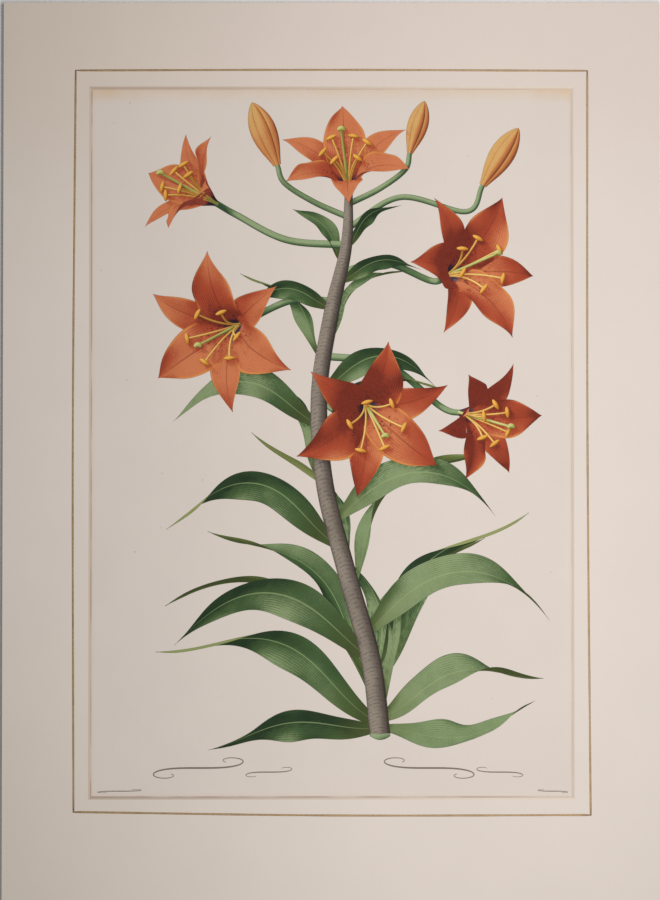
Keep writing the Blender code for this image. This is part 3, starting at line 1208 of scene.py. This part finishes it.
def leaning(lean, length):
    """Distances out and up along a line whose lean from the axis is given in degrees, row by row."""
    step = length / (len(lean) - 1)
    return np.cumsum(np.sin(np.radians(lean))) * step, np.cumsum(np.cos(np.radians(lean))) * step


def lay_petals(name, flower, length, spin, opening, layer):
    """Six petals, broad and narrow by turns. Each faces the axis. opening is 1 for wide open and less for
    a cup."""
    for number in range(6):
        share, more_lean, half_width, fold, wave, nearer = PETALS[number % 2]
        turn = spin + 60 * number + 5 * (draw.random() - 0.5)
        size = length * share * (1 + 0.06 * (draw.random() - 0.5))
        last_lean = 20 + 88 * opening + more_lean
        lean = FIRST_LEAN + (last_lean - FIRST_LEAN) * np.linspace(0, 1, PETAL_ROWS) ** 1.2
        out, up = leaning(lean, size)
        path = carried(flower, out, up, turn)
        inward = unit(carried(flower, out * 0, up + 60, turn) - path)
        half = size * half_width * taper(PETAL_ROWS, full=0.50, root=0.16, point=1.2)
        phase = 6 * draw.random()
        points = stroke(path, half, fold=fold, wave=wave, waves=1.8, phase=phase, face=inward)
        lay(name, "petal", points, layer + nearer)


print(len(PETALS), "kinds of petal, with", PETAL_ROWS, "rows each")

# %% [markdown]
# Stamens, pistil and whole flowers
#
# Between the petals stand six stamens, each a thin thread with a short bar of pollen across its tip,
# and in the middle one pistil with a knob. They lean as the petals do, by less, and lie over them.

# %% Stamens and flowers
STAMEN_ROWS = 24
BAR_ROWS = 16
KNOB_ROWS = 12
BLOOMS = (
    # piece, centre, azimuth, tilt, petal length, spin, opening, where its stalk leaves the stem, bow
    ("printed_bloom_far", (-84, 176, -14), 150, 62, 62, 10, 0.70, 0.86, 10),
    ("printed_bloom_low", (94, 22, 6), -18, 44, 64, 20, 0.84, 0.64, 12),
    ("printed_bloom_right", (82, 122, 4), 20, 40, 78, 40, 0.95, 0.80, 8),
    ("printed_bloom_left", (-66, 88, 10), 205, 30, 80, 12, 1.00, 0.74, -8),
    ("printed_bloom_top", (13, 184, 6), 96, 50, 70, 0, 0.86, None, 0),
    ("printed_bloom_front", (24, 30, 26), -62, 24, 80, 25, 0.96, 0.58, -10),
)
BLOOM_LAYER = 20.0
BLOOM_STALK = 2.8


def lay_stamens(name, flower, length, spin, opening, layer):
    """Six threads between the petals, each with a bar square to its own tip."""
    for number in range(6):
        turn = spin + 30 + 60 * number + 8 * (draw.random() - 0.5)
        reach = length * (0.62 + 0.08 * draw.random())
        lean = 6 + 34 * opening * np.linspace(0, 1, STAMEN_ROWS)
        path = carried(flower, *leaning(lean, reach), turn)
        lay(name, "filament", stroke(path, 0.75, swell=1.0, sides=6), layer + 12)
        tip = path[-1]
        aside = 4.2 * unit(np.cross(tip - path[-4], np.array([0.0, 0.0, 1.0])))
        bar = smooth_path([tip - aside, tip + np.array([0, 0, 0.6]), tip + aside], BAR_ROWS)
        points = stroke(bar, 1.7 * pointed(0.04, BAR_ROWS, 0.6), swell=1.0, sides=8)
        lay(name, "anther", points, layer + 16)


def lay_pistil(name, flower, length, spin, layer):
    """A straight thread in the middle, and a knob that bows over its tip."""
    out, up = np.linspace(0, 3, STAMEN_ROWS), np.linspace(0, 0.86 * length, STAMEN_ROWS)
    path = carried(flower, out, up, spin + 15)
    lay(name, "pistil", stroke(path, np.linspace(1.2, 0.9, STAMEN_ROWS), swell=1.0, sides=8), layer + 14)
    knots = [path[-1] + step for step in ((-2.6, -0.6, 1), (0, 0.8, 1.5), (2.6, -0.6, 1))]
    half = 1.9 * pointed(0.08, KNOB_ROWS, 0.5)
    lay(name, "pistil", stroke(smooth_path(knots, KNOB_ROWS), half, swell=1.0, sides=8), layer + 18)


for name, centre, azimuth, tilt, length, spin, opening, share, bow in BLOOMS:
    turning = flower_frame(azimuth, tilt)
    bloom = (np.array(centre, float), turning)
    lay_petals(name, bloom, length, spin, opening, BLOOM_LAYER)
    lay_stamens(name + "_stamens", bloom, length, spin, opening, BLOOM_LAYER)
    lay_pistil(name + "_stamens", bloom, length, spin, BLOOM_LAYER)
    if share:
        axis = turning[:, 2]
        stalk(on_stem(share), centre + 4.0 * axis, axis, bow, BLOOM_STALK)
print(len(BLOOMS), "flowers")

# %% [markdown]
# The buds
#
# A closed bud shows three rounded petals side by side, which meet at its tip. The middle one is laid
# last, over the other two.

# %% Buds
BUD_ROWS = 40
BUD_LAYER = 14.0
BUD_STALK = 2.3
BUDS = (
    # piece, base, azimuth, length, width, where its stalk leaves the stem, bow
    ("printed_bud_left", (-40, 205, 4), 112, 50, 9.5, 0.93, 6),
    ("printed_bud_high", (58, 214, 2), 74, 40, 7.5, 0.96, -6),
    ("printed_bud_right", (112, 190, 3), 58, 50, 9.0, 0.90, 10),
)


def lay_bud(name, base, heading, length, width):
    """Three strips along heading, each moved aside by a share of the bud's own width there."""
    aside = np.array([-heading[1], heading[0], 0.0])
    along = base + length * np.linspace(0, 1, BUD_ROWS)[:, None] * heading
    swelling = width * taper(BUD_ROWS, full=0.55, root=0.30, point=0.75)
    for moved, share, nearer in ((-0.52, 0.50, 0), (0.52, 0.50, 0), (0.0, 0.52, 3)):
        points = stroke(along + moved * swelling[:, None] * aside, swelling * share, swell=0.9, sides=12)
        lay(name, "bud", points, BUD_LAYER + nearer)


for name, base, azimuth, length, width, share, bow in BUDS:
    angle = math.radians(azimuth)
    heading = np.array([math.cos(angle), math.sin(angle), 0.0])
    lay_bud(name, np.array(base, float), heading, length, width)
    stalk(on_stem(share), base, heading, bow, BUD_STALK)
print(len(BUDS), "buds")

# %% [markdown]
# Pen flourishes
#
# Pen flourishes fill the foot of the page. A curve drawn by hand would do, but a formula keeps them
# even. A flourish is a double scroll: the pen's direction, measured from level, is a power of the
# distance from the middle, so both ends curl. The line swells in the middle, as a pressed nib makes it.

# %% Flourishes
SCROLL_POINTS = 220
FLOURISHES = (
    # middle across, middle up, width, height, curl, thickness
    (-98, -240, 66, 15, 5.6, 0.62),
    (-46, -243, 34, 7, 4.6, 0.40),
    (72, -240, 66, 15, -5.6, 0.62),
    (124, -243, 34, 7, -4.6, 0.40),
    (-156, -257, 32, 2.4, 4.2, 0.30),
    (163, -257, 22, 2.2, -4.2, 0.30),
)


def lay_flourish(right, up, width, height, curl, thickness):
    """One scroll. The sums of the cosine and sine of its direction are fitted to its width and height."""
    s = np.linspace(-1, 1, SCROLL_POINTS)
    direction = curl * np.abs(s) ** 2.4
    x, y = np.cumsum(np.cos(direction)), np.cumsum(np.sin(direction))
    x = right + width * ((x - x.min()) / np.ptp(x) - 0.5)
    y = up + height * ((y - y.min()) / np.ptp(y) - 0.5)
    nib = thickness * (0.35 + 0.65 * np.cos(np.pi / 2 * s) ** 2)
    path = np.stack([x, y, np.zeros(SCROLL_POINTS)], axis=-1)
    lay("pen_flourishes", "pen", stroke(path, nib, sides=5))


for flourish in FLOURISHES:
    lay_flourish(*flourish)
print(len(FLOURISHES), "flourishes, and", len(strokes), "strokes in all")

# %% [markdown]
# The inks
#
# A hand-coloured print has a printed tone under a wash. An ink material therefore starts from tone,
# which is the stored light less the stored shadow, and picks a wash between a dark, a middle and a
# light colour. Fine lines along the petal or leaf, a fine stipple, a darker rim and a soft pooling
# of the wash are the same for every ink, so they are one group.

# %% Ink group
RIM_WIDTH = 0.35
SHADOW_DEPTH = 0.38
BRIGHTEST = 0.88
DARKEST = 0.14


def make_ink_group():
    """Tone is light less shadow and lines, from 0 to 1. The distance across is counted in lines and set
    off by chance, and a line lies halfway between two whole numbers. Rim marks the outer edge, and Grain
    is the fine stipple."""
    group = new_group("ink_tone", [("Lines", 6.0), ("Line depth", 0.2)], ("Tone", "Rim", "Grain"))
    n = Nodes(group)
    entry = n.add("NodeGroupInput").outputs
    out = n.add("NodeGroupOutput")
    place = n.object_place()
    wander = n.noise(place, 160.0, detail=2.0)
    phase = n.plus(n.times(n.attribute("across"), entry["Lines"]), n.times(wander, 0.5))
    saw = n.math("ABSOLUTE", n.minus(n.math("FRACT", n.plus(phase, n.attribute("chance"))), 0.5))
    patch = n.ramp(n.noise(place, 70.0, detail=3.0), 0.35, 0.65, 0.35, 1.0)
    line = n.times(n.times(n.ramp(saw, 0.16, 0.02), patch), entry["Line depth"])
    grain = n.ramp(n.noise(place, 1500.0, detail=2.0, roughness=0.7), 0.32, 0.68)
    light = n.math("MULTIPLY_ADD", n.attribute("light"), 1.30, -0.22)
    shade = n.times(n.attribute("shadow"), SHADOW_DEPTH)
    shaded = n.math("MAXIMUM", n.minus(n.math("MINIMUM", light, BRIGHTEST), shade), DARKEST)
    pool = n.noise(place, 45.0, detail=4.0, roughness=0.6)
    tone = n.plus(n.minus(shaded, line), n.times(n.minus(pool, 0.5), 0.30))
    tone = n.plus(tone, n.times(n.minus(grain, 0.5), 0.13))
    inwards = n.math("DIVIDE", n.attribute("edge"), RIM_WIDTH)
    rim = n.math("SUBTRACT", 1.0, inwards, clamp=True)
    n.feed_all(out.inputs, (tone, rim, grain))
    return group


INK_GROUP = make_ink_group()


def ink_material(name, washes, lines, line_depth, back=None, finish=None):
    """An ink on paper. washes are the colours at tone 0, 0.5 and 1, and back is the same for a
    turned-over side. finish adds what one ink alone has, given the helper, tone and colour."""
    material, n, shader = new_material(name, 0.8)
    ink = n.add("ShaderNodeGroup", node_tree=INK_GROUP)
    ink.inputs["Lines"].default_value = lines
    ink.inputs["Line depth"].default_value = line_depth
    tone = ink.outputs["Tone"]

    def wash(colours):
        dark, middle, light = (linear(*colour) for colour in colours)
        return n.mix(n.ramp(tone, 0.45, 0.95), n.mix(n.ramp(tone, 0.0, 0.5), dark, middle), light)

    colour = wash(washes)
    if back:
        colour = n.mix(n.ramp(n.attribute("back"), 0.45, 0.55), colour, wash(back))
    if finish:
        colour = finish(n, tone, colour)
    rim = n.times(n.ramp(ink.outputs["Rim"], 0.1, 0.9), 0.55)
    colour = n.mix(rim, colour, dimmed(linear(*washes[0]), 0.55))
    roughness = n.ramp(ink.outputs["Grain"], 0.0, 1.0, 0.72, 0.9)
    apply_finish(n, shader, colour, roughness, constants=[("Specular IOR Level", 0.2)])
    return material


print("ink group of", len(INK_GROUP.nodes), "nodes")

# %% [markdown]
# What one ink alone has
#
# A leaf has a pale midrib and a petal has a dark throat with flecks, and the stem is hatched. These
# marks follow the stroke's own two measures, across and along, and so they bend with it.

# %% Ink materials
STEM_HATCHES = 150


def leaf_finish(n, tone, colour):
    """A pale midrib, an olive flush towards the root, and bluer green on some leaves."""
    across = n.math("ABSOLUTE", n.attribute("across"))
    colour = n.tint(colour, n.ramp(across, 0.055, 0.02), 0.55, (150, 168, 116))
    colour = n.tint(colour, n.ramp(n.attribute("along"), 0.30, 0.0), 0.45, (96, 104, 52))
    blue = n.times(n.ramp(n.attribute("chance"), 0.45, 0.9), 0.35)
    return n.mix(blue, colour, n.mix(1.0, colour, linear(222, 240, 226), "MULTIPLY"))


def petal_finish(n, tone, colour):
    """A dark throat, short dark flecks above it, a fine middle line and a warm edge."""
    along = n.attribute("along")
    across = n.math("ABSOLUTE", n.attribute("across"))
    place = n.object_place()
    colour = n.tint(colour, n.ramp(across, 0.05, 0.015), 0.5, (120, 40, 28))
    edge = n.times(n.ramp(across, 0.86, 0.97), n.times(n.ramp(tone, 0.2, 0.7), 0.6))
    colour = n.mix(edge, colour, linear(226, 150, 70))
    distance, _ = n.spots(place, 420.0)
    zone = n.times(n.ramp(along, 0.62, 0.30), n.ramp(across, 0.75, 0.45))
    front = n.minus(1.0, n.attribute("back"))
    fleck = n.times(n.ramp(distance, 0.34, 0.24), n.times(zone, front))
    colour = n.tint(colour, fleck, 0.75, (70, 26, 28))
    wander = n.times(n.minus(n.noise(place, 220.0), 0.5), 0.12)
    throat = n.ramp(n.plus(along, wander), 0.24, 0.10)
    return n.mix(throat, colour, n.mix(n.ramp(tone, 0.2, 0.9), linear(26, 20, 32), linear(78, 68, 92)))


def bark_finish(n, tone, colour):
    """Short hatches bowed round the stem, as an engraver lays them, broken up by a noise."""
    across, along = n.attribute("across"), n.attribute("along")
    bow = n.times(n.times(across, across), 0.006)
    turns = n.times(n.plus(along, bow), 2 * math.pi * STEM_HATCHES)
    hatch = n.ramp(n.math("SINE", turns), 0.1, 0.9)
    broken = n.ramp(n.noise(n.object_place(), 420.0, detail=2.0), 0.42, 0.58)
    return n.tint(colour, n.times(hatch, broken), 0.42, (54, 44, 46))


INK_TABLE = (
    # family, material, wash at dark, middle and light tone, number of lines, their depth
    ("leaf", "leaf_green_ink", ((26, 46, 26), (66, 90, 51), (140, 156, 112)), 9.0, 0.36),
    ("petal", "orange_petal_ink", ((104, 34, 22), (168, 70, 43), (210, 126, 82)), 10.0, 0.28),
    ("bud", "bud_ink", ((116, 60, 34), (190, 112, 62), (214, 170, 104)), 4.0, 0.25),
    ("bark", "stem_ink", ((46, 40, 36), (98, 87, 78), (150, 138, 124)), 9.0, 0.30),
    ("stalk", "stalk_ink", ((34, 62, 40), (88, 112, 72), (150, 166, 124)), 3.0, 0.15),
    ("filament", "filament_ink", ((150, 96, 36), (214, 160, 72), (238, 200, 120)), 1.0, 0.0),
    ("anther", "anther_ink", ((122, 66, 22), (208, 138, 46), (236, 180, 84)), 2.0, 0.2),
    ("pen", "pen_ink", ((98, 84, 74), (120, 106, 96), (134, 120, 110)), 1.0, 0.0),
    ("pistil", "pistil_ink", ((96, 98, 40), (168, 166, 84), (208, 202, 130)), 1.0, 0.0),
)
BACKS = {
    "leaf": ((54, 64, 30), (104, 112, 58), (152, 158, 100)),
    "petal": ((116, 44, 34), (180, 92, 64), (216, 150, 114)),
}
FINISHES = {"leaf": leaf_finish, "petal": petal_finish, "bark": bark_finish}
INKS = {
    family: ink_material(*row, back=BACKS.get(family), finish=FINISHES.get(family))
    for family, *row in INK_TABLE
}
print(len(INKS), "inks")

# %% [markdown]
# Printing the picture
#
# The strokes of one piece are joined into one mesh, because a leaf or a flower is one thing that a
# reader would pick out. Each stroke keeps the ink of its family as its own material slot.

# %% Printed pieces
def join_strokes(own, depth, lowest):
    """Points, triangles, attributes and ink numbers of several strokes, each as one array, and the ink
    families in the order of their numbers."""
    families = list(dict.fromkeys(entry["family"] for entry in own))
    points, faces, values = zip(*(pressed(entry, depth, lowest) for entry in own))
    starts = np.cumsum([0] + [len(p) for p in points[:-1]])
    numbers = [np.full(len(f), families.index(entry["family"])) for entry, f in zip(own, faces)]
    joined = {key: np.concatenate([v[key] for v in values]) for key in values[0]}
    shifted = np.concatenate([f + start for f, start in zip(faces, starts)])
    return np.concatenate(points), shifted, joined, np.concatenate(numbers), families


def print_picture():
    """Presses every stroke, piece by piece, and gives each triangle the number of its ink."""
    depth = nearest_map(strokes)
    lowest = min(entry["points"][..., 2].min() + entry["layer"] for entry in strokes)
    for name in dict.fromkeys(entry["piece"] for entry in strokes):
        own = [entry for entry in strokes if entry["piece"] == name]
        points, faces, values, numbers, families = join_strokes(own, depth, lowest)
        first = INKS[families[0]]
        piece = add_piece(name, points, faces, "backing", first, values, smooth=False)
        for family in families[1:]:
            piece.data.materials.append(INKS[family])
        piece.data.polygons.foreach_set("material_index", numbers.astype(np.int32))


print_picture()

# %% [markdown]
# Floor and light
#
# The print lies on a pale floor under one long softbox. The photograph is brightest right of the middle
# and darker towards the left edge and the corners, which is how light falls off from a strip that hangs
# close above the right half. A weak even light from the whole room softens its shadows.

# %% Floor and light
FLOOR_HALF = 6.0
FLOOR_GAP = 0.2 * MM
SOFTBOX_PLACE = (0.20, 0.0, 0.60)
SOFTBOX_SIZE = (0.30, 1.20)
SOFTBOX_POWER = 4.7
ROOM_LIGHT = 0.25


def add_floor():
    """A square of pale floor just below the board."""
    mesh = bpy.data.meshes.new("floor")
    signs = ((-1, -1), (1, -1), (1, 1), (-1, 1))
    corners = [(x * FLOOR_HALF, y * FLOOR_HALF, -FLOOR_GAP) for x, y in signs]
    mesh.from_pydata(corners, [], [(0, 1, 2, 3)])
    floor = bpy.data.objects.new("floor", mesh)
    bpy.context.scene.collection.objects.link(floor)
    material, n, shader = new_material("pale_floor", 0.9)
    grain = n.ramp(n.noise(n.object_place(), 8.0), 0.3, 0.7)
    n.feed(shader.inputs["Base Color"], n.mix(grain, (0.86, 0.86, 0.86), (0.90, 0.90, 0.90)))
    mesh.materials.append(material)


def add_softbox():
    """A strip lamp that leans to face the middle of the print. It is hidden from the camera itself."""
    data = bpy.data.lights.new("softbox", "AREA")
    data.shape = "RECTANGLE"
    data.size, data.size_y = SOFTBOX_SIZE
    data.energy = SOFTBOX_POWER
    lamp = bpy.data.objects.new("softbox", data)
    bpy.context.scene.collection.objects.link(lamp)
    lamp.location = SOFTBOX_PLACE
    lamp.rotation_euler = (0.0, math.atan2(SOFTBOX_PLACE[0], SOFTBOX_PLACE[2]), 0.0)
    lamp.visible_camera = False


def add_room_light():
    """An even white light from all round."""
    world = bpy.data.worlds.new("studio")
    bpy.context.scene.world = world
    world.use_nodes = True
    background = world.node_tree.nodes["Background"]
    background.inputs["Color"].default_value = (1.0, 1.0, 1.0, 1.0)
    background.inputs["Strength"].default_value = ROOM_LIGHT


add_floor()
add_softbox()
add_room_light()
bpy.context.scene.view_settings.view_transform = "Standard"
print("softbox", SOFTBOX_SIZE, "m,", SOFTBOX_PLACE[2], "m above the print")
